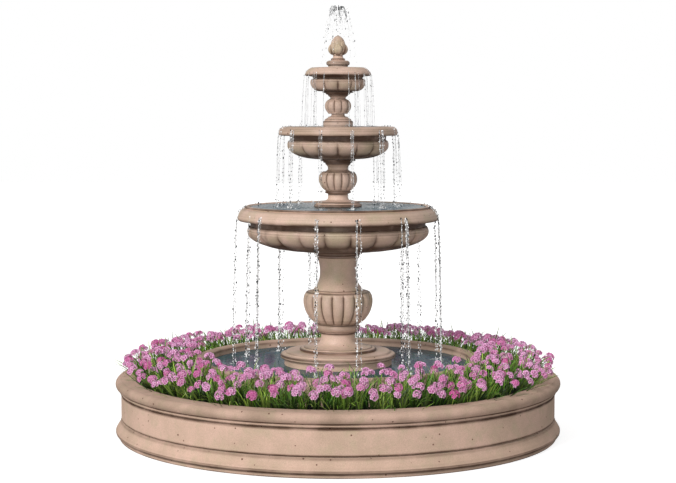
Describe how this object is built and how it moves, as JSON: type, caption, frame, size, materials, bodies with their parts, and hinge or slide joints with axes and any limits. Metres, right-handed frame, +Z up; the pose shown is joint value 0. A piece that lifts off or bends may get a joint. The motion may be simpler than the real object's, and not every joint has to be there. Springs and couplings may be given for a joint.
{
  "type": "tiered water fountain",
  "caption": "Cast-stone garden fountain: gadrooned bowls on balusters over a round pool, inside a raised basin planted with flowers.",
  "frame": {"origin": "centre of the round footprint, on the ground", "axes": "+Z up the fountain's axis, -Y the front, +Y the side with the pump chamber's access door"},
  "size_m": [3.05, 3.05, 2.93],
  "materials": {
    "cast_stone": "matte pinkish-tan cast stone with fine pits",
    "brass": "dull plumbing brass",
    "galvanised_steel": "galvanised pipe",
    "black_rubber": "matte",
    "pump_plastic": "moulded",
    "lever_vinyl": "dipped vinyl over steel",
    "drainage_gravel": "loose gravel",
    "potting_soil": "loose bark compost",
    "bedding_plants": "leaves and flower heads",
    "water": "clear moving water"
  },
  "bodies": {
    "root": {"basin_base_course": "cast_stone", "basin_wall": "cast_stone", "basin_coping": "cast_stone", "pool_floor_slab": "cast_stone", "pool_ring": "cast_stone", "plinth_block": "cast_stone", "plinth_cap": "cast_stone", "lower_foot": "cast_stone", "lower_baluster": "cast_stone", "lower_bowl": "cast_stone", "middle_foot": "cast_stone", "middle_baluster": "cast_stone", "middle_bowl": "cast_stone", "upper_foot": "cast_stone", "upper_baluster": "cast_stone", "upper_bowl": "cast_stone", "finial_base": "cast_stone", "finial": "cast_stone", "riser_coupling_lower": "brass", "riser_coupling_upper": "brass", "spray_nozzle": "brass", "outlet_fitting": "brass", "valve_body": "brass", "drain_body": "brass", "riser_lower": "galvanised_steel", "riser_middle": "galvanised_steel", "riser_upper": "galvanised_steel", "lower_bowl_gasket": "black_rubber", "middle_bowl_gasket": "black_rubber", "upper_bowl_gasket": "black_rubber", "drain_seal": "black_rubber", "pump_foot_left": "black_rubber", "pump_foot_right": "black_rubber", "pump_housing": "pump_plastic", "pump_cover": "pump_plastic", "intake_screen": "pump_plastic", "pump_base": "pump_plastic", "cable_gland": "pump_plastic", "flower_bed_01": "bedding_plants", "flower_bed_02": "bedding_plants", "flower_bed_03": "bedding_plants", "flower_bed_04": "bedding_plants", "flower_bed_05": "bedding_plants", "flower_bed_06": "bedding_plants", "flower_bed_07": "bedding_plants", "flower_bed_08": "bedding_plants", "flower_bed_09": "bedding_plants", "flower_bed_10": "bedding_plants", "flower_bed_11": "bedding_plants", "flower_bed_12": "bedding_plants", "drainage_gravel": "drainage_gravel", "planting_soil": "potting_soil", "water_jet": "water"},
    "impeller_body": {"impeller": "pump_plastic"},
    "valve_handle": {"valve_ball": "galvanised_steel", "valve_lever": "lever_vinyl"},
    "drain_plug_body": {"drain_plug": "brass"},
    "door": {"chamber_door": "cast_stone", "door_knob": "brass"}
  },
  "joints": [
    {"name": "impeller_spin", "type": "hinge", "parent": "root", "child": "impeller_body", "pos_m": [0, 0, 0.16], "axis": [1, 0, 0], "continuous": true},
    {"name": "valve_turn", "type": "hinge", "parent": "root", "child": "valve_handle", "pos_m": [0, 0, 0.309], "axis": [0, 1, 0], "range_deg": [0, 90]},
    {"name": "drain_plug_lift", "type": "slide", "parent": "root", "child": "drain_plug_body", "axis": [0, 0, 1], "range_m": [0, 0.08]},
    {"name": "door_pull", "type": "slide", "parent": "root", "child": "door", "axis": [0, 1, 0], "range_m": [0, 0.15]}
  ]
}
